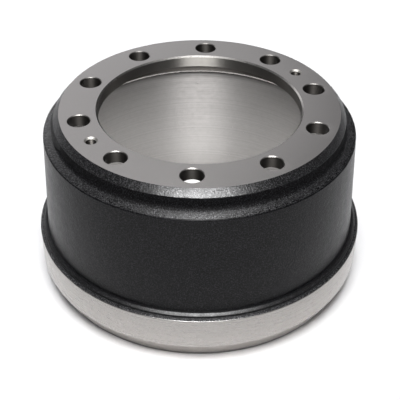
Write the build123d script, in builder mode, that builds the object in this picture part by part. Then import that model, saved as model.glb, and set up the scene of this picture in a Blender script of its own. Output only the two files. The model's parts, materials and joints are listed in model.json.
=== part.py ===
from build123d import *
from math import radians, tan
import os

# Brake drum for a heavy truck or trailer axle, one grey iron casting.
# Millimetres, +Z up. The drum stands on its open rim, as it does on a shelf: the origin is the middle
# of the rim's face, and the mounting face that meets the wheel is at the top.
# Radii are built outwards from the bore, and depths go down from the mounting face.

# Overall height, the mounting flange and the bore that pilots it on the hub
height = 255.5
flange_thickness = 17.0
bore_radius = 141.0
bore_lead_in = 2.0

# Bolt holes: with this web between bore and holes they lie on a 335 mm bolt circle
bolt_count = 10
bolt_hole_radius = 15.0
bolt_web = 11.5
bolt_lead_in = 1.5
first_bolt_angle = 87.0

# Tapped holes for the screws that push the drum off its hub, on the same circle
jack_count = 2
jack_core_radius = 7.0
jack_countersink_radius = 9.2

# Neck: the narrow ring that joins the flange to the shoulder, wide enough inside to clear the hub
hub_room = 3.5
neck_wall = 15.5
neck_depth = 26.3
face_bevel_width = 8.0
face_bevel_drop = 9.0
neck_fillet = 7.0
neck_corner_bevel = 3.0

# Shoulder and body wall: the wall leaves a braking surface 410 mm across
shoulder_width = 15.5
shoulder_slope = 16.0
shoulder_edge_radius = 3.0
shell_thickness = 12.0
wall_draft = 3.1
crown_thickness = 22.2

# Inside, under the crown: a step, a shallow relief, then the bored braking surface
step_bevel = 2.5
relief_depth = 2.0
relief_height = 10.0
rim_lead_in = 3.0

# Flat-topped bead, ledge, turned band and bevel at the open rim
bead_width = 6.75
bead_height = 7.3
bead_edge_radius = 3.5
ledge_width = 5.0
ledge_fall = 1.8
band_edge_bevel = 1.6
band_height = 46.6
rim_bevel_width = 13.0
rim_bevel_height = 26.1

# Cast pad that fills the hollow of the neck over a short arc and runs out at both ends
pad_start_angle = 178.0
pad_arc = 29.0
pad_ramp_angle = 6.0
pad_reach = 3.6
pad_root = 3.0
pad_corner_radius = 20.0
pad_edge_radius = 1.5

# Radii, each from the one inside it
bolt_circle_radius = bore_radius + bolt_web + bolt_hole_radius
neck_inner_radius = bolt_circle_radius + bolt_hole_radius + hub_room
neck_outer_radius = neck_inner_radius + neck_wall
face_radius = neck_outer_radius - face_bevel_width
shoulder_radius = neck_outer_radius + shoulder_width
brake_radius = shoulder_radius - shell_thickness
relief_radius = brake_radius + relief_depth

# Heights under the mounting face, going down
flange_back = height - flange_thickness
bevel_foot = height - face_bevel_drop
neck_foot = height - neck_depth
shoulder_height = neck_foot - shoulder_width * tan(radians(shoulder_slope))
step_height = shoulder_height - crown_thickness
brake_top = step_height - relief_height

# Heights above the rim, going up
band_top = rim_bevel_height + band_height
ledge_height = band_top + ledge_fall
bead_top = ledge_height + bead_height

# The body wall widens downwards by its casting draft, and the rim steps out from its foot
wall_foot_radius = shoulder_radius + (shoulder_height - bead_top) * tan(radians(wall_draft))
bead_radius = wall_foot_radius + bead_width
band_radius = bead_radius + ledge_width
rim_radius = band_radius - rim_bevel_width

# Half section of the casting, as corners of radius and height. Cast corners also have a rounding, and
# turned edges are bevelled by two corners, the first of them a bevel's width before the edge.
outer_corners = [
    (face_radius, height, 0),
    (neck_outer_radius, bevel_foot, 0),
    (neck_outer_radius, neck_foot, neck_fillet),
    (shoulder_radius, shoulder_height, shoulder_edge_radius),
    (wall_foot_radius, bead_top, 0),
    (bead_radius, bead_top, bead_edge_radius),
    (bead_radius, ledge_height, 0),
    (band_radius - band_edge_bevel, band_top, 0),
    (band_radius, band_top - band_edge_bevel, 0),
    (band_radius, rim_bevel_height, 0),
    (rim_radius, 0, 0),
]
inner_corners = [
    (brake_radius + rim_lead_in, 0, 0),
    (brake_radius, rim_lead_in, 0),
    (brake_radius, brake_top, 0),
    (relief_radius, brake_top + relief_depth, 0),
    (relief_radius, step_height, 0),
    (neck_inner_radius + step_bevel, step_height, 0),
    (neck_inner_radius, step_height + step_bevel, 0),
    (neck_inner_radius, flange_back - neck_corner_bevel, 0),
    (neck_inner_radius - neck_corner_bevel, flange_back, 0),
    (bore_radius, flange_back, 0),
    (bore_radius, height - bore_lead_in, 0),
    (bore_radius + bore_lead_in, height, 0),
]
drum_corners = outer_corners + inner_corners

# Half section of a ring as high and as wide as the pad: its top carries on the slope of the
# flange's bevel, and its root is buried in the neck and the shoulder
bevel_slope = face_bevel_drop / face_bevel_width
pad_radius = neck_outer_radius + pad_reach
pad_root_radius = neck_outer_radius - pad_root
pad_foot = shoulder_height - pad_root
pad_root_top = bevel_foot + bevel_slope * pad_root
pad_corners = [
    (pad_root_radius, pad_root_top, 0),
    (pad_radius, bevel_foot - bevel_slope * pad_reach, pad_edge_radius),
    (pad_radius, pad_foot, 0),
    (pad_root_radius, pad_foot, 0),
]

# The pad: its plan is an arc with a ramp at each end, cut to the ring's section
with BuildPart() as pad:
    with BuildSketch(Plane.XY.offset(pad_foot)):
        with BuildLine():
            root = CenterArc((0, 0), pad_root_radius, pad_start_angle, pad_arc)
            crest = CenterArc(
                (0, 0), pad_radius, pad_start_angle + pad_ramp_angle, pad_arc - 2 * pad_ramp_angle
            )
            Line(root @ 0, crest @ 0)
            Line(root @ 1, crest @ 1)
        make_face()
    extrude(amount=pad_root_top - pad_foot)
    crest_ends = pad.edges().filter_by(Axis.Z).sort_by_distance((0, 0, pad_foot))[-2:]
    fillet(crest_ends, pad_corner_radius)
    with BuildSketch(Plane.XZ):
        with BuildLine():
            FilletPolyline(
                [(radius, level) for radius, level, rounding in pad_corners],
                radius=[rounding for radius, level, rounding in pad_corners],
                close=True,
            )
        make_face()
    revolve(axis=Axis.Z, mode=Mode.INTERSECT)

# The drum: the casting turned about its axis, with the pad on its neck and the holes in its flange
drill_depth = flange_thickness + neck_corner_bevel
bolt_pitch = 360 / bolt_count
jack_spacing = bolt_count // jack_count * bolt_pitch
jack_start_angle = first_bolt_angle - 1.5 * bolt_pitch

with BuildPart() as drum:
    with BuildSketch(Plane.XZ):
        with BuildLine():
            FilletPolyline(
                [(radius, level) for radius, level, rounding in drum_corners],
                radius=[rounding for radius, level, rounding in drum_corners],
                close=True,
            )
        make_face()
    revolve(axis=Axis.Z)
    add(pad.part)

    with Locations(Plane.XY.offset(height)):
        with PolarLocations(bolt_circle_radius, bolt_count, start_angle=first_bolt_angle):
            CounterSinkHole(
                radius=bolt_hole_radius,
                counter_sink_radius=bolt_hole_radius + bolt_lead_in,
                depth=drill_depth,
                counter_sink_angle=90,
            )

        # Each tapped hole is midway between two bolt holes
        with PolarLocations(
            bolt_circle_radius,
            jack_count,
            start_angle=jack_start_angle,
            angular_range=jack_count * jack_spacing,
        ):
            CounterSinkHole(
                radius=jack_core_radius,
                counter_sink_radius=jack_countersink_radius,
                depth=drill_depth,
                counter_sink_angle=90,
            )

os.makedirs("parts", exist_ok=True)
drum.part.label = "brake_drum"
export_step(drum.part, "parts/brake_drum.step")
print("bolt circle", 2 * bolt_circle_radius, "braking diameter", 2 * brake_radius)
print("overall diameter", round(2 * band_radius, 2), "braking width", brake_top - rim_lead_in)
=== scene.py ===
import json
import math

import bmesh
import bpy
from mathutils import Matrix, Vector


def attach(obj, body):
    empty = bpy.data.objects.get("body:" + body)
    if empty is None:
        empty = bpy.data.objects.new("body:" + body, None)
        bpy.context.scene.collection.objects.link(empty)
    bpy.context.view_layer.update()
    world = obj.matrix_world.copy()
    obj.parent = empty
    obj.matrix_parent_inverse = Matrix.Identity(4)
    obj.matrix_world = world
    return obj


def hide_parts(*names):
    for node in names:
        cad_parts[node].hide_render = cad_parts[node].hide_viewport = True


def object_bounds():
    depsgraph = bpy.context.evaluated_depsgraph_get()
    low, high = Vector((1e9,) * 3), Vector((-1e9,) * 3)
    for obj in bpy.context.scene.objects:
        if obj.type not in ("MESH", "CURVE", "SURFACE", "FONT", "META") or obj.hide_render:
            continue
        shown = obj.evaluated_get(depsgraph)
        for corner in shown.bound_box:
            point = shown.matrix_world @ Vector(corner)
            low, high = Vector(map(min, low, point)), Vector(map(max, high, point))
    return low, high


# Brake drum for a heavy axle: one grey iron casting, standing on its open rim, +Z up.
# Its sizes are in millimetres and are turned to metres where a mesh is made. The camera is at -Y.
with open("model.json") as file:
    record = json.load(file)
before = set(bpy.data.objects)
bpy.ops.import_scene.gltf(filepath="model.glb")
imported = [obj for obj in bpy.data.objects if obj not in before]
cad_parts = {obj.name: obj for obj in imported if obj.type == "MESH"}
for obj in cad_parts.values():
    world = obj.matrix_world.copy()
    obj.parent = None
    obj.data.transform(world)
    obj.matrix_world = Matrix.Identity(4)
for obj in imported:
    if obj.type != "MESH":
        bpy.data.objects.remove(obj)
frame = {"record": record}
cadLow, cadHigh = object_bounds()
mounts = {mount["name"]: mount for mount in frame["record"]["mounts"]}
mm = 0.001
weld = 0.01                   # mm, points closer than this are one
slack = 0.1                   # mm, room left when a radius or a height is compared with a size
print("frame loaded")


def mountRadius(name):
    return mounts[name]["dims"]["r_mm"]


def mountEnds(name):
    middle = mounts[name]["pos_m"][2] / mm
    half = mounts[name]["dims"]["length_mm"] / 2
    return middle - half, middle + half


# The drum's section. What another part meets comes from the frame, the rest is here.
drum = {
    "facets": 360,            # round the axis
    "roundSegments": 5,       # in each rounded corner
    "turnedEdge": 0.3,        # rounding left on turned edges
    "faceBevelWidth": 8.0,
    "faceBevelDrop": 9.0,
    "bevelEdge": 1.5,         # rounding under that bevel
    "neckWall": 15.5,
    "neckDepth": 26.3,
    "neckFillet": 7.0,
    "neckRowHeight": 1.2,     # rows on the neck, fine enough for the cast pad
    "neckCorner": 3.0,        # inside, under the flange
    "shoulderWidth": 15.5,
    "shoulderSlope": 16.0,    # degrees
    "shoulderEdge": 1.8,
    "crownThickness": 22.2,
    "stepEdge": 4.0,          # the neck's inner foot, seen through the bore
    "reliefDepth": 2.0,
    "reliefHeight": 10.0,
    "reliefCorner": 3.0,
    "rimLeadIn": 3.0,
    "beadWidth": 6.75,
    "beadHeight": 6.0,
    "beadBevel": 3.2,
    "beadEdge": 0.8,          # rounding at both ends of that bevel
    "ledgeWidth": 5.0,
    "ledgeFall": 1.8,
    "bandEdge": 1.8,
    "bandHeight": 46.6,
    "rimBevelWidth": 12.2,
    "rimBevelHeight": 26.1,
    "rimEdge": 1.0,
    "insideBox": 0.01,        # the band stays this far inside the CAD box
    "sharpAngle": 25.0,       # degrees, edges that turn more than this are drawn sharp
}
height = cadHigh.z / mm
bandRadius = min(cadHigh.x, cadHigh.y, -cadLow.x, -cadLow.y) / mm - drum["insideBox"]
boreRadius = mountRadius("pilot_bore")
flangeBack, leadInFoot = mountEnds("pilot_bore")
neckInside = mountRadius("hub_clearance")
brakeRadius = mountRadius("brake_surface")

neckOutside = neckInside + drum["neckWall"]
faceRadius = neckOutside - drum["faceBevelWidth"]
bevelFoot = height - drum["faceBevelDrop"]
neckFoot = height - drum["neckDepth"]
shoulderRadius = neckOutside + drum["shoulderWidth"]
shoulderHeight = neckFoot - drum["shoulderWidth"] * math.tan(math.radians(drum["shoulderSlope"]))
stepHeight = shoulderHeight - drum["crownThickness"]
brakeTop = stepHeight - drum["reliefHeight"]
reliefRadius = brakeRadius + drum["reliefDepth"]
bandTop = drum["rimBevelHeight"] + drum["bandHeight"]
ledgeHeight = bandTop + drum["ledgeFall"]
beadTop = ledgeHeight + drum["beadHeight"]
beadRadius = bandRadius - drum["ledgeWidth"]
wallFootRadius = beadRadius - drum["beadWidth"]
rimRadius = bandRadius - drum["rimBevelWidth"]
leadIn = height - leadInFoot

# Corners of the half section, down the outside and up the inside: radius, height and rounding
section = [
    (boreRadius, leadInFoot, 0),
    (boreRadius + leadIn, height, 0),
    (faceRadius, height, drum["turnedEdge"]),
    (neckOutside, bevelFoot, drum["bevelEdge"]),
    (neckOutside, neckFoot, drum["neckFillet"]),
    (shoulderRadius, shoulderHeight, drum["shoulderEdge"]),
    (wallFootRadius, beadTop, 0),
    (beadRadius - drum["beadBevel"], beadTop, drum["beadEdge"]),
    (beadRadius, beadTop - drum["beadBevel"], drum["beadEdge"]),
    (beadRadius, ledgeHeight, 0),
    (bandRadius, bandTop, drum["bandEdge"]),
    (bandRadius, drum["rimBevelHeight"], drum["turnedEdge"]),
    (rimRadius, 0, drum["rimEdge"]),
    (brakeRadius + drum["rimLeadIn"], 0, 0),
    (brakeRadius, drum["rimLeadIn"], 0),
    (brakeRadius, brakeTop, 0),
    (reliefRadius, brakeTop + drum["reliefDepth"], 0),
    (reliefRadius, stepHeight, drum["reliefCorner"]),
    (neckInside, stepHeight, drum["stepEdge"]),
    (neckInside, flangeBack, drum["neckCorner"]),
    (boreRadius, flangeBack, 0),
]


def roundCorner(bm, vert, before, after, radius):
    turn = (vert.co - before).angle(after - vert.co)
    bmesh.ops.bevel(bm, geom=[vert], offset=radius * mm * math.tan(turn / 2), offset_type="OFFSET",
                    affect="VERTICES", segments=drum["roundSegments"], profile=0.5, material=-1)


def spinDrum():
    bm = bmesh.new()
    points = [Vector((radius, 0, level)) * mm for radius, level, rounding in section]
    verts = [bm.verts.new(point) for point in points]
    for index, vert in enumerate(verts):
        bm.edges.new((verts[index - 1], vert))
    for index, (radius, level, rounding) in enumerate(section):
        if rounding:
            after = points[(index + 1) % len(points)]
            roundCorner(bm, verts[index], points[index - 1], after, rounding)
    neckLine = [edge for edge in bm.edges
                if all(abs(vert.co.x / mm - neckOutside) < weld / 10 for vert in edge.verts)]
    rows = round(max(edge.calc_length() for edge in neckLine) / mm / drum["neckRowHeight"])
    bmesh.ops.subdivide_edges(bm, edges=neckLine, cuts=rows)
    bmesh.ops.spin(bm, geom=bm.verts[:] + bm.edges[:], cent=(0, 0, 0), axis=(0, 0, 1),
                   angle=math.tau, steps=drum["facets"], use_merge=True)
    bmesh.ops.recalc_face_normals(bm, faces=bm.faces)
    return bm


# The cast pad: the sand filled the neck's hollow over a short arc, and runs out at both ends.
# Its upper side carries on the slope of the flange's bevel.
pad = {
    "startAngle": 179.0,
    "arc": 27.0,
    "rampAngle": 7.0,
    "reach": 3.6,             # out from the neck
    "footDrop": 8.0,          # below the neck's foot, where the fillet has taken over
}


def ease(share):
    share = min(max(share, 0), 1)
    return share * share * (3 - 2 * share)


def raisePad(bm):
    slope = drum["faceBevelDrop"] / drum["faceBevelWidth"]
    for vert in bm.verts:
        radius = vert.co.xy.length / mm
        level = vert.co.z / mm
        onNeck = neckOutside - slack < radius < neckOutside + pad["reach"]
        if not (onNeck and neckFoot - pad["footDrop"] < level < bevelFoot):
            continue
        angle = math.degrees(math.atan2(vert.co.y, vert.co.x)) % 360 - pad["startAngle"]
        crest = ease(angle / pad["rampAngle"]) * ease((pad["arc"] - angle) / pad["rampAngle"])
        target = neckOutside + min(pad["reach"] * crest, (bevelFoot - level) / slope)
        if target > radius:
            vert.co.xy *= target / radius


# Holes in the flange: ten plain bolt holes, and two jack holes with a real M16 thread
holes = {
    "boltLeadIn": 1.0,
    "boltFacets": 96,
    "firstBoltAngle": 87.0,   # degrees
    "jackLeadIn": 2.2,
    "jackFacets": 64,
    "threadPitch": 2.0,
    "threadDepth": 0.9,       # outside the core
    "threadCrest": 0.25,      # flat left on the crests, as wide as the flat at the roots
    "overcut": 6.0,           # beyond both faces of the flange
}
bolts = mounts["wheel_bolts"]["dims"]
boltCircle = bolts["pcd_mm"] / 2
boltRadius = bolts["hole_r_mm"]
boltTop = boltRadius + holes["boltLeadIn"]
jackRadius = mountRadius("jack_hole_1")
jackTop = jackRadius + holes["jackLeadIn"]


def boltCentre(index):
    angle = math.radians(holes["firstBoltAngle"] + 360 / bolts["count"] * index)
    return Vector((boltCircle * math.cos(angle), boltCircle * math.sin(angle)))


boltCentres = [boltCentre(index) for index in range(bolts["count"])]
jackCentres = [Vector(mounts[name]["pos_m"][:2]) / mm for name in ("jack_hole_1", "jack_hole_2")]


# A turned cutter: a drill with a countersink above it, or the countersink alone where its drill radius is 0
def turnCutter(drillRadius, topRadius, facets):
    bm = bmesh.new()
    top = height + holes["overcut"]
    low = flangeBack - holes["overcut"] if drillRadius else height - topRadius
    corners = [(0, low), (drillRadius, low), (drillRadius, height - topRadius + drillRadius),
               (topRadius + holes["overcut"], top), (0, top)]
    verts = [bm.verts.new(Vector((radius, 0, level)) * mm) for radius, level in corners]
    edges = [bm.edges.new(pair) for pair in zip(verts, verts[1:])]
    bmesh.ops.spin(bm, geom=verts + edges, cent=(0, 0, 0), axis=(0, 0, 1),
                   angle=math.tau, steps=facets, use_merge=True)
    bmesh.ops.remove_doubles(bm, verts=bm.verts, dist=weld * mm)
    bmesh.ops.dissolve_degenerate(bm, edges=bm.edges, dist=weld * mm / 10)
    return bm


# A tap: one pitch of the thread's line is spun up a helix, and both ends are drawn to a point
def turnTap():
    bm = bmesh.new()
    pitch = holes["threadPitch"]
    crest = holes["threadCrest"]
    low = flangeBack - holes["overcut"]
    turns = round((height + holes["overcut"] - low) / pitch)
    line = [(jackRadius, 0), (jackRadius, crest), (jackRadius + holes["threadDepth"], pitch / 2),
            (jackRadius + holes["threadDepth"], pitch / 2 + crest), (jackRadius, pitch)]
    verts = [bm.verts.new(Vector((radius, 0, low + level)) * mm) for radius, level in line]
    edges = [bm.edges.new(pair) for pair in zip(verts, verts[1:])]
    climb = (0, 0, pitch * mm / holes["jackFacets"])
    bmesh.ops.spin(bm, geom=verts + edges, cent=(0, 0, 0), axis=(0, 0, 1), dvec=climb,
                   angle=math.tau * turns, steps=holes["jackFacets"] * turns)
    bmesh.ops.remove_doubles(bm, verts=bm.verts, dist=weld * mm)
    rims = [edge for edge in bm.edges if edge.is_boundary]
    middle = (low + turns * pitch / 2) * mm
    for above in (False, True):
        rim = [edge for edge in rims if (edge.verts[0].co.z > middle) == above]
        grown = bmesh.ops.extrude_edge_only(bm, edges=rim)["geom"]
        ends = [item for item in grown if isinstance(item, bmesh.types.BMVert)]
        tip = Vector((0, 0, (low + pitch * (turns + 1 if above else 0)) * mm))
        bmesh.ops.pointmerge(bm, verts=ends, merge_co=tip)
    return bm


def placeCopies(source, centres, target):
    for centre in centres:
        copy = bpy.data.meshes.new("copy")
        source.to_mesh(copy)
        copy.transform(Matrix.Translation(Vector((centre.x, centre.y, 0)) * mm))
        target.from_mesh(copy)
        bpy.data.meshes.remove(copy)
    source.free()


def toObject(bm, name):
    mesh = bpy.data.meshes.new(name)
    bm.to_mesh(mesh)
    bm.free()
    piece = bpy.data.objects.new(name, mesh)
    bpy.context.scene.collection.objects.link(piece)
    return piece


def cutAway(piece, cutterMesh):
    bmesh.ops.recalc_face_normals(cutterMesh, faces=cutterMesh.faces)
    cutter = toObject(cutterMesh, "cutter")
    cut = piece.modifiers.new("cut", "BOOLEAN")
    cut.operation = "DIFFERENCE"
    cut.solver = "EXACT"
    cut.object = cutter
    bpy.context.view_layer.update()
    result = bpy.data.meshes.new_from_object(piece.evaluated_get(bpy.context.evaluated_depsgraph_get()))
    piece.modifiers.clear()
    piece.data = result
    bpy.data.objects.remove(cutter)


def cutHoles(piece):
    taps = bmesh.new()
    placeCopies(turnTap(), jackCentres, taps)
    cutAway(piece, taps)
    drills = bmesh.new()
    placeCopies(turnCutter(boltRadius, boltTop, holes["boltFacets"]), boltCentres, drills)
    placeCopies(turnCutter(0, jackTop, holes["jackFacets"]), jackCentres, drills)
    cutAway(piece, drills)


# Colours are sRGB hex values, turned to linear here
def linear(hexColor):
    channels = [int(hexColor[i:i + 2], 16) / 255 for i in (1, 3, 5)]
    return [c / 12.92 if c <= 0.04045 else ((c + 0.055) / 1.055) ** 2.4 for c in channels] + [1]


def addNode(tree, kind, sockets=None, **settings):
    node = tree.nodes.new(kind)
    for name, value in settings.items():
        setattr(node, name, value)
    for name, value in (sockets or {}).items():
        if isinstance(value, bpy.types.NodeSocket):
            tree.links.new(value, node.inputs[name])
        else:
            node.inputs[name].default_value = value
    return node


def newMaterial(name):
    material = bpy.data.materials.new(name)
    material.use_nodes = True
    material.node_tree.nodes.clear()
    return material, material.node_tree


noiseLow, noiseHigh = 0.3, 0.7    # most of a noise lies between these

# Sand-cast iron under a thin coat of black primer: a pebbly, half matt skin that turns grey at a glance.
# Its grains glint one by one where the coat is thin, on the flange's bevel, the shoulder and the ledge.
primer = {
    "name": "black_primer_on_sand_cast_iron",
    "grain": 1.9,             # mm, sand grain, drawn about four times too coarse so that it shows
    "grainDepth": 0.36,       # mm, coarse like the grain
    "grainDetail": (1.6, 0.6),    # octaves of the noise and how rough they are, as in the next ones
    "ripple": 11.0,           # mm, unevenness of the mould
    "rippleDepth": 0.25,
    "rippleDetail": (2.0, 0.5),
    "rippleGloss": (0.9, 1.1),    # share of the roughness, low and high on the ripple
    "tip": 1.52,              # mm, grains' tips, a little finer than the grains
    "tipDetail": (2.0, 0.7),
    "tipReach": (0.35, 0.65), # of that noise: where a tip begins, and where it stands clear
    "tipSharpness": 3.0,
    "tipWear": 4.5,           # how much sooner the tips wear bare than the skin round them
    "dark": "#020203",
    "light": "#2e2e31",       # the coat on the tips, where it is thinner
    "iron": "#b9b9bb",        # worn tips
    "ior": 1.27,              # lower than paint's 1.5, because the pores of a matt coat swallow light
    "skin": [                 # height, how far the coat is worn to bare grains, roughness
        (0.0, 0.0, 0.4),
        (bandTop, 0.1, 0.24),
        (ledgeHeight, 0.0, 0.5),
        (ledgeHeight + 1.5, 0.0, 0.4),
        (beadTop - 4, 0.0, 0.42),
        (beadTop - 1.5, 0.01, 0.39),
        (beadTop - 0.3, 0.0, 0.38),
        (beadTop + 1, 0.0, 0.33),
        (shoulderHeight, 0.0, 0.33),
        (shoulderHeight + 0.6, 0.035, 0.25),
        (neckFoot - 1, 0.03, 0.34),
        (neckFoot + 1, 0.0, 0.7),
        (bevelFoot - 1, 0.0, 0.7),
        (bevelFoot, 0.028, 0.31),
        (height, 0.028, 0.31),
    ],
}
# In the neck's hollow and on the shoulder's edge the same primer is dusty and hardly shines
painted = {"primer": primer, "dusty": dict(primer, name="dusty_primer_in_the_neck", ior=1.12)}


def makePrimer(look):
    material, tree = newMaterial(look["name"])
    place = addNode(tree, "ShaderNodeTexCoord").outputs["Object"]
    noises = {}
    for name in ("grain", "ripple", "tip"):
        octaves, roughness = look[name + "Detail"]
        noises[name] = addNode(tree, "ShaderNodeTexNoise", {
            "Vector": place, "Scale": 1 / (look[name] * mm), "Detail": octaves, "Roughness": roughness,
        }).outputs["Fac"]

    level = addNode(tree, "ShaderNodeSeparateXYZ", {"Vector": place}).outputs["Z"]
    share = addNode(tree, "ShaderNodeMapRange", {"Value": level, "From Min": 0, "From Max": height * mm})
    skin = addNode(tree, "ShaderNodeValToRGB", {"Fac": share.outputs["Result"]})
    stops = skin.color_ramp.elements
    last = len(look["skin"]) - 1
    for index, (at, worn, roughness) in enumerate(look["skin"]):
        stop = stops[0] if index == 0 else stops[-1] if index == last else stops.new(at / height)
        stop.color = (worn, roughness, 0, 1)
    skin = addNode(tree, "ShaderNodeSeparateColor", {"Color": skin.outputs["Color"]})

    thin = addNode(tree, "ShaderNodeMapRange", {
        "Value": noises["tip"], "From Min": look["tipReach"][0], "From Max": look["tipReach"][1],
    }).outputs["Result"]
    grit = addNode(tree, "ShaderNodeMath", {0: thin, 1: look["tipSharpness"]},
                   operation="POWER").outputs["Value"]
    spread = addNode(tree, "ShaderNodeMath", {0: grit, 1: look["tipWear"]},
                     operation="MULTIPLY").outputs["Value"]
    bare = addNode(tree, "ShaderNodeMath", {0: skin.outputs["Red"], 1: spread},
                   operation="MULTIPLY").outputs["Value"]
    coat = addNode(tree, "ShaderNodeMix", {
        "Factor": grit, "A": linear(look["dark"]), "B": linear(look["light"]),
    }, data_type="RGBA").outputs["Result"]
    color = addNode(tree, "ShaderNodeMix", {"Factor": bare, "A": coat, "B": linear(look["iron"])},
                    data_type="RGBA").outputs["Result"]

    uneven = addNode(tree, "ShaderNodeMapRange", {
        "Value": noises["ripple"], "From Min": noiseLow, "From Max": noiseHigh,
        "To Min": look["rippleGloss"][0], "To Max": look["rippleGloss"][1],
    }).outputs["Result"]
    rough = addNode(tree, "ShaderNodeMath", {0: skin.outputs["Green"], 1: uneven},
                    operation="MULTIPLY").outputs["Value"]
    low = addNode(tree, "ShaderNodeBump", {
        "Height": noises["ripple"], "Distance": look["rippleDepth"] * mm, "Strength": 1.0,
    }).outputs["Normal"]
    high = addNode(tree, "ShaderNodeBump", {
        "Height": noises["grain"], "Distance": look["grainDepth"] * mm, "Strength": 1.0, "Normal": low,
    }).outputs["Normal"]
    shader = addNode(tree, "ShaderNodeBsdfPrincipled", {
        "Base Color": color, "Metallic": bare, "IOR": look["ior"], "Roughness": rough, "Normal": high,
    })
    addNode(tree, "ShaderNodeOutputMaterial", {"Surface": shader.outputs["BSDF"]})
    return material


# Grey iron as the tools leave it. Fine grooves run round the axis, so that a light is drawn out across them
# by the stretch. The feed marks are about 0.2 mm apart and are drawn coarser so that they show; groove and
# depth are in mm. Along says which way the marks follow each other, and cloud is how far the tone wanders.
# Shade is for what stray light doesn't reach: the height where it starts, where it ends, and its darkest.
turned = {
    # The mounting face: pale and even, a soft mirror of the studio
    "face": {"name": "face_turned_iron", "color": "#aeaba8", "roughness": 0.22, "groove": 1.6,
             "depth": 0.010, "stretch": 0.2, "along": "radius", "cloud": 0.03},
    # The bore's lead-in: a thin line, bright at the back
    "edge": {"name": "chamfered_iron_edges", "color": "#8e8c89", "roughness": 0.29, "groove": 1.6,
             "depth": 0.004, "stretch": 0.0, "along": "radius", "cloud": 0.02},
    # The jack holes' countersinks: rougher, because a countersink chatters
    "sink": {"name": "countersunk_iron", "color": "#7d7b78", "roughness": 0.5, "groove": 1.6,
             "depth": 0.01, "stretch": 0.0, "along": "radius", "cloud": 0.05},
    # The bolt holes' chamfers and the band's upper edge: narrow glints
    "chamfer": {"name": "cut_iron_edges", "color": "#6e6c6a", "roughness": 0.33, "groove": 1.6,
                "depth": 0.004, "stretch": 0.0, "along": "radius", "cloud": 0.02},
    # The pilot bore: dark, with narrow upright lights
    "bore": {"name": "bored_iron_pilot", "color": "#686663", "roughness": 0.35, "groove": 1.6,
             "depth": 0.012, "stretch": 0.97, "along": "height", "cloud": 0.06},
    # The band, and the rounded step inside: bright grey with faint rings
    "band": {"name": "turned_iron_band", "color": "#a4a19e", "roughness": 0.28, "groove": 2.0,
             "depth": 0.012, "stretch": 0.3, "along": "height", "cloud": 0.05},
    # The bevel under the band and the rim's flat: warmer and duller, dark where it meets the floor
    "rim": {"name": "turned_iron_rim", "color": "#8f8a86", "roughness": 0.3, "groove": 2.0,
            "depth": 0.02, "stretch": 0.3, "along": "height", "cloud": 0.1, "shade": (0, 8, 0.03)},
    # The braking surface: pale, with a broad upright light, and dim under the relief
    "brake": {"name": "bored_iron_braking_surface", "color": "#959391", "roughness": 0.32, "groove": 2.6,
              "depth": 0.007, "stretch": 0.82, "along": "height", "cloud": 0.1,
              "shade": (brakeTop, brakeTop - 8, 0.35)},
    # Inside the neck and under the flange: coarse dark rings
    "inside": {"name": "rough_turned_iron", "color": "#5a5754", "roughness": 0.5, "groove": 2.4,
               "depth": 0.04, "stretch": 0.85, "along": "height", "cloud": 0.12},
    # The holes' walls and the ramp under the relief: nearly black as painted shade in the deep holes and
    # under the relief, with coarse drill marks
    "hole": {"name": "drilled_iron", "color": "#3c3a38", "roughness": 0.45, "groove": 2.2,
             "depth": 0.12, "stretch": 0.6, "along": "height", "cloud": 0.08},
}
stains = {                    # alike on all turned iron
    "size": 6.0,              # mm
    "detail": (5.0, 0.75),    # octaves of the noise and how rough they are
    "markDetail": (3.0, 0.6), # the same for the feed marks
    "share": 0.45,            # of the stains in their mix with the feed marks
    "drawn": {"radius": (1, 1, 1), "height": (0.8, 0.8, 1.2)},    # wider than high on walls
    "gloss": 0.05,            # how far they take the roughness up and down
}


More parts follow.
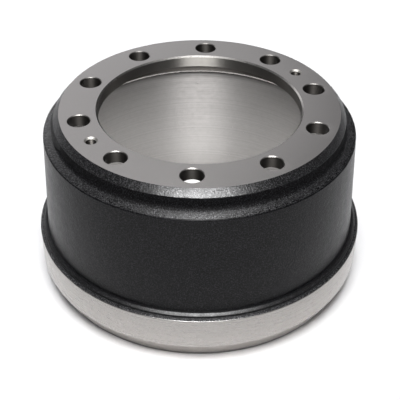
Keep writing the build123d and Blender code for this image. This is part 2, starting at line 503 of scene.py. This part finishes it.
def makeTurned(look):
    material, tree = newMaterial(look["name"])
    place = addNode(tree, "ShaderNodeTexCoord").outputs["Object"]
    axes = addNode(tree, "ShaderNodeSeparateXYZ", {"Vector": place}).outputs
    level = axes["Z"]
    if look["along"] == "radius":
        flat = addNode(tree, "ShaderNodeCombineXYZ", {"X": axes["X"], "Y": axes["Y"]}).outputs["Vector"]
        level = addNode(tree, "ShaderNodeVectorMath", {0: flat}, operation="LENGTH").outputs["Value"]
    marks = addNode(tree, "ShaderNodeTexNoise", {
        "W": level, "Scale": 1 / (look["groove"] * mm),
        "Detail": stains["markDetail"][0], "Roughness": stains["markDetail"][1],
    }, noise_dimensions="1D").outputs["Fac"]
    drawn = addNode(tree, "ShaderNodeVectorMath", {0: place, 1: stains["drawn"][look["along"]]},
                    operation="MULTIPLY").outputs["Vector"]
    cloud = addNode(tree, "ShaderNodeTexNoise", {
        "Vector": drawn, "Scale": 1 / (stains["size"] * mm),
        "Detail": stains["detail"][0], "Roughness": stains["detail"][1],
    }).outputs["Fac"]
    mixed = addNode(tree, "ShaderNodeMix", {"Factor": stains["share"], "A": marks, "B": cloud},
                    data_type="FLOAT").outputs["Result"]

    tone = addNode(tree, "ShaderNodeMapRange", {
        "Value": mixed, "From Min": noiseLow, "From Max": noiseHigh,
        "To Min": 1 - look["cloud"], "To Max": 1 + look["cloud"],
    }).outputs["Result"]
    if "shade" in look:
        start, end, darkest = look["shade"]
        shaded = addNode(tree, "ShaderNodeMapRange", {
            "Value": level, "From Min": start * mm, "From Max": end * mm, "To Min": darkest, "To Max": 1,
        }).outputs["Result"]
        tone = addNode(tree, "ShaderNodeMath", {0: tone, 1: shaded}, operation="MULTIPLY").outputs["Value"]
    color = addNode(tree, "ShaderNodeVectorMath", {0: linear(look["color"])[:3], "Scale": tone},
                    operation="SCALE").outputs["Vector"]
    rough = addNode(tree, "ShaderNodeMapRange", {
        "Value": mixed, "From Min": noiseLow, "From Max": noiseHigh,
        "To Min": look["roughness"] - stains["gloss"], "To Max": look["roughness"] + stains["gloss"],
    }).outputs["Result"]
    bump = addNode(tree, "ShaderNodeBump", {
        "Height": marks, "Distance": look["depth"] * mm, "Strength": 1.0,
    }).outputs["Normal"]
    if look["along"] == "radius":
        around = addNode(tree, "ShaderNodeTangent", direction_type="RADIAL", axis="Z").outputs["Tangent"]
    else:
        outwards = addNode(tree, "ShaderNodeTexCoord").outputs["Normal"]
        around = addNode(tree, "ShaderNodeVectorMath", {0: (0, 0, 1), 1: outwards},
                         operation="CROSS_PRODUCT").outputs["Vector"]
    # The quarter turn lays the stretch across the grooves
    shader = addNode(tree, "ShaderNodeBsdfPrincipled", {
        "Base Color": color, "Metallic": 1.0, "Roughness": rough, "Anisotropic": look["stretch"],
        "Anisotropic Rotation": 0.25, "Tangent": around, "Normal": bump,
    })
    addNode(tree, "ShaderNodeOutputMaterial", {"Surface": shader.outputs["BSDF"]})
    return material


finishes = list(painted) + list(turned)    # in the order of the drum's material slots

# Where a finish begins. Upward and outward are parts of a face's normal, so 1 is straight up or out.
zones = {
    "levelUpward": 0.95,      # flatter faces are the flange's own and not a hole's
    "chamferUpward": 0.3,
    "chamferDepth": 3.0,      # mm under the mounting face
    "leadInUpward": 0.5,
    "faceUpward": 0.99,
    "skinGap": 5.0,           # mm beyond the neck's inside, and beyond the braking surface
    "skinOutward": 0.1,       # between those two, only what looks out or up is on the outside
    "skinUpward": 0.2,
    "dustFoot": 0.4,          # mm under the neck's foot
    "dustTop": 1.0,           # mm under the bevel
    "dustGap": 0.3,           # mm off the neck, so that the pad has none
    "dustHeap": 6.0,          # mm, the dust reaches this far out and up in the fillet
    "edgeGap": 2.0,           # mm above and below the shoulder's edge
    "edgeOutward": 0.35,      # on that edge, not on the slope above it
    "bandEdgeUpward": 0.25,   # the band's upper edge begins
    "flatUpward": 0.9,        # the ledge, and downwards the rim's flat
}


def holeFinish(centre, upward):
    for centres, reach, edge in ((boltCentres, boltTop, "chamfer"), (jackCentres, jackTop, "sink")):
        if any((centre.xy - at).length < reach + slack / 2 for at in centres):
            cut = upward > zones["chamferUpward"] and centre.z > height - zones["chamferDepth"]
            return edge if cut else "hole"
    return None


def topFinish(radius, upward):
    if upward > zones["faceUpward"]:
        return "face"
    return "edge" if radius < boreRadius + leadIn else "primer"


def outerFinish(radius, level, outward, upward):
    if level < drum["rimBevelHeight"]:
        return "rim"
    if level < bandTop:
        if upward > zones["bandEdgeUpward"]:
            return "chamfer" if upward < zones["flatUpward"] else "primer"
        return "band"
    if neckFoot - zones["dustFoot"] < level < bevelFoot - zones["dustTop"]:
        heap = zones["dustHeap"] - (level - neckFoot)
        if radius < neckOutside + max(zones["dustGap"], heap):
            return "dusty"
    if abs(level - shoulderHeight) < zones["edgeGap"] and outward > zones["edgeOutward"] and upward > 0:
        return "dusty"
    return "primer"


def innerFinish(radius, level, upward):
    if level < brakeTop + slack:
        return "brake" if upward > -zones["flatUpward"] else "rim"
    # The ramp under the relief takes the near-black hole finish: painted shade under the step
    if level < brakeTop + drum["reliefDepth"]:
        return "hole"
    onStep = level < stepHeight + drum["stepEdge"] and radius < neckInside + drum["stepEdge"]
    return "band" if onStep else "inside"


def finishOf(face):
    centre = face.calc_center_median() / mm
    radius = centre.xy.length
    upward = face.normal.z
    outward = face.normal.xy.dot(centre.xy.normalized())
    if centre.z > flangeBack - drum["neckCorner"] and abs(upward) < zones["levelUpward"]:
        finish = holeFinish(centre, upward)
        if finish:
            return finish
    if centre.z > leadInFoot and radius < faceRadius and upward > zones["leadInUpward"]:
        return topFinish(radius, upward)
    if radius < boreRadius + slack:
        return "bore"
    facesOut = outward > zones["skinOutward"] or upward > zones["skinUpward"]
    if radius > neckInside + zones["skinGap"] and facesOut or radius > brakeRadius + zones["skinGap"]:
        return outerFinish(radius, centre.z, outward, upward)
    return innerFinish(radius, centre.z, upward)


def finishDrum(piece):
    piece.data.materials.clear()
    for name in finishes:
        piece.data.materials.append(makeTurned(turned[name]) if name in turned else makePrimer(painted[name]))
    bm = bmesh.new()
    bm.from_mesh(piece.data)
    for face in bm.faces:
        face.material_index = finishes.index(finishOf(face))
        face.smooth = True
    for edge in bm.edges:
        edge.smooth = edge.calc_face_angle(0) < math.radians(drum["sharpAngle"])
    bm.to_mesh(piece.data)
    bm.free()


def makeDrum():
    bm = spinDrum()
    raisePad(bm)
    piece = toObject(bm, "drum_casting")
    cutHoles(piece)
    finishDrum(piece)
    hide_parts("brake_drum")
    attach(piece, "root")
    print("drum", len(piece.data.polygons), "faces")


makeDrum()

# A plain pale studio. A wide sun overhead lights the floor and the drum and isn't mirrored. Three softboxes,
# in front, above and at the back left, show in the iron and don't light the floor. A weak glow comes from
# behind on the left. Places are in metres.
studio = {
    "floorSize": 12.0,
    "floorColor": "#f4f4f5",
    "floorRoughness": 0.9,
    "glowColor": "#fbfbff",
    "glowToward": (-0.42, 0.8, 0.4),
    "glow": (0.10, 0.78),     # strength away from it and towards it
    "glowReach": (0.62, 1.0), # cosine of the angle to its middle, where it begins and where it is full
    "sunPlace": (0.0, -0.32, 2.0),    # only its direction counts
    "sunStrength": 3.1,
    "sunAngle": 30.0,         # degrees
    "boxes": {                # name: place, width, depth, watts
        "front": ((0.0, -1.85, 1.75), 1.4, 0.8, 300),
        "high": ((0.0, 0.1, 2.2), 0.5, 1.0, 41),
        "left": ((-1.6, 1.78, 0.98), 0.9, 0.6, 3),
    },
    "boxTarget": (0, 0, 0.2),
    "lens": 76.777,
    "cameraPlace": (0.000894, -1.013817, 0.865195),
    "cameraTarget": (0.000894, 0, 0.089765),
    "cameraRoll": 0.196,      # degrees
}


# Matt white paper: nearly as bright as the background, and without an image of the drum in it
def makeFloor():
    bm = bmesh.new()
    bmesh.ops.create_grid(bm, x_segments=1, y_segments=1, size=studio["floorSize"] / 2)
    floor = toObject(bm, "floor")
    material, tree = newMaterial("matt_white_paper")
    shader = addNode(tree, "ShaderNodeBsdfPrincipled", {
        "Base Color": linear(studio["floorColor"]), "Roughness": studio["floorRoughness"],
        "Specular IOR Level": 0.0,
    })
    addNode(tree, "ShaderNodeOutputMaterial", {"Surface": shader.outputs["BSDF"]})
    floor.data.materials.append(material)


def makeWorld():
    world = bpy.data.worlds.new("studio")
    world.use_nodes = True
    tree = world.node_tree
    tree.nodes.clear()
    way = addNode(tree, "ShaderNodeTexCoord").outputs["Generated"]
    toward = Vector(studio["glowToward"]).normalized()
    facing = addNode(tree, "ShaderNodeVectorMath", {0: way, 1: toward},
                     operation="DOT_PRODUCT").outputs["Value"]
    strength = addNode(tree, "ShaderNodeMapRange", {
        "Value": facing, "From Min": studio["glowReach"][0], "From Max": studio["glowReach"][1],
        "To Min": studio["glow"][0], "To Max": studio["glow"][1],
    }, interpolation_type="SMOOTHSTEP").outputs["Result"]
    background = addNode(tree, "ShaderNodeBackground", {
        "Color": linear(studio["glowColor"]), "Strength": strength,
    })
    addNode(tree, "ShaderNodeOutputWorld", {"Surface": background.outputs["Background"]})
    bpy.context.scene.world = world


def placeLamp(name, kind, place, target):
    lamp = bpy.data.lights.new(name, kind)
    item = bpy.data.objects.new(name, lamp)
    item.location = place
    item.rotation_euler = (Vector(target) - Vector(place)).to_track_quat("-Z", "Y").to_euler()
    bpy.context.scene.collection.objects.link(item)
    return item, lamp


def makeLamps():
    item, sun = placeLamp("overhead", "SUN", studio["sunPlace"], (0, 0, 0))
    sun.energy = studio["sunStrength"]
    sun.angle = math.radians(studio["sunAngle"])
    item.visible_glossy = False
    for name, (place, width, depth, watts) in studio["boxes"].items():
        item, box = placeLamp(name, "AREA", place, studio["boxTarget"])
        box.shape = "RECTANGLE"
        box.size = width
        box.size_y = depth
        box.energy = watts
        item.visible_diffuse = False


def makeCamera():
    lens = bpy.data.cameras.new("camera")
    lens.lens = studio["lens"]
    camera = bpy.data.objects.new("camera", lens)
    place = Vector(studio["cameraPlace"])
    aim = (Vector(studio["cameraTarget"]) - place).to_track_quat("-Z", "Y").to_matrix().to_4x4()
    roll = Matrix.Rotation(math.radians(studio["cameraRoll"]), 4, "Z")
    camera.matrix_world = Matrix.Translation(place) @ aim @ roll
    bpy.context.scene.collection.objects.link(camera)
    bpy.context.scene.camera = camera


makeFloor()
makeWorld()
makeLamps()
makeCamera()
bpy.context.scene.view_settings.view_transform = "Standard"
print("studio ready")
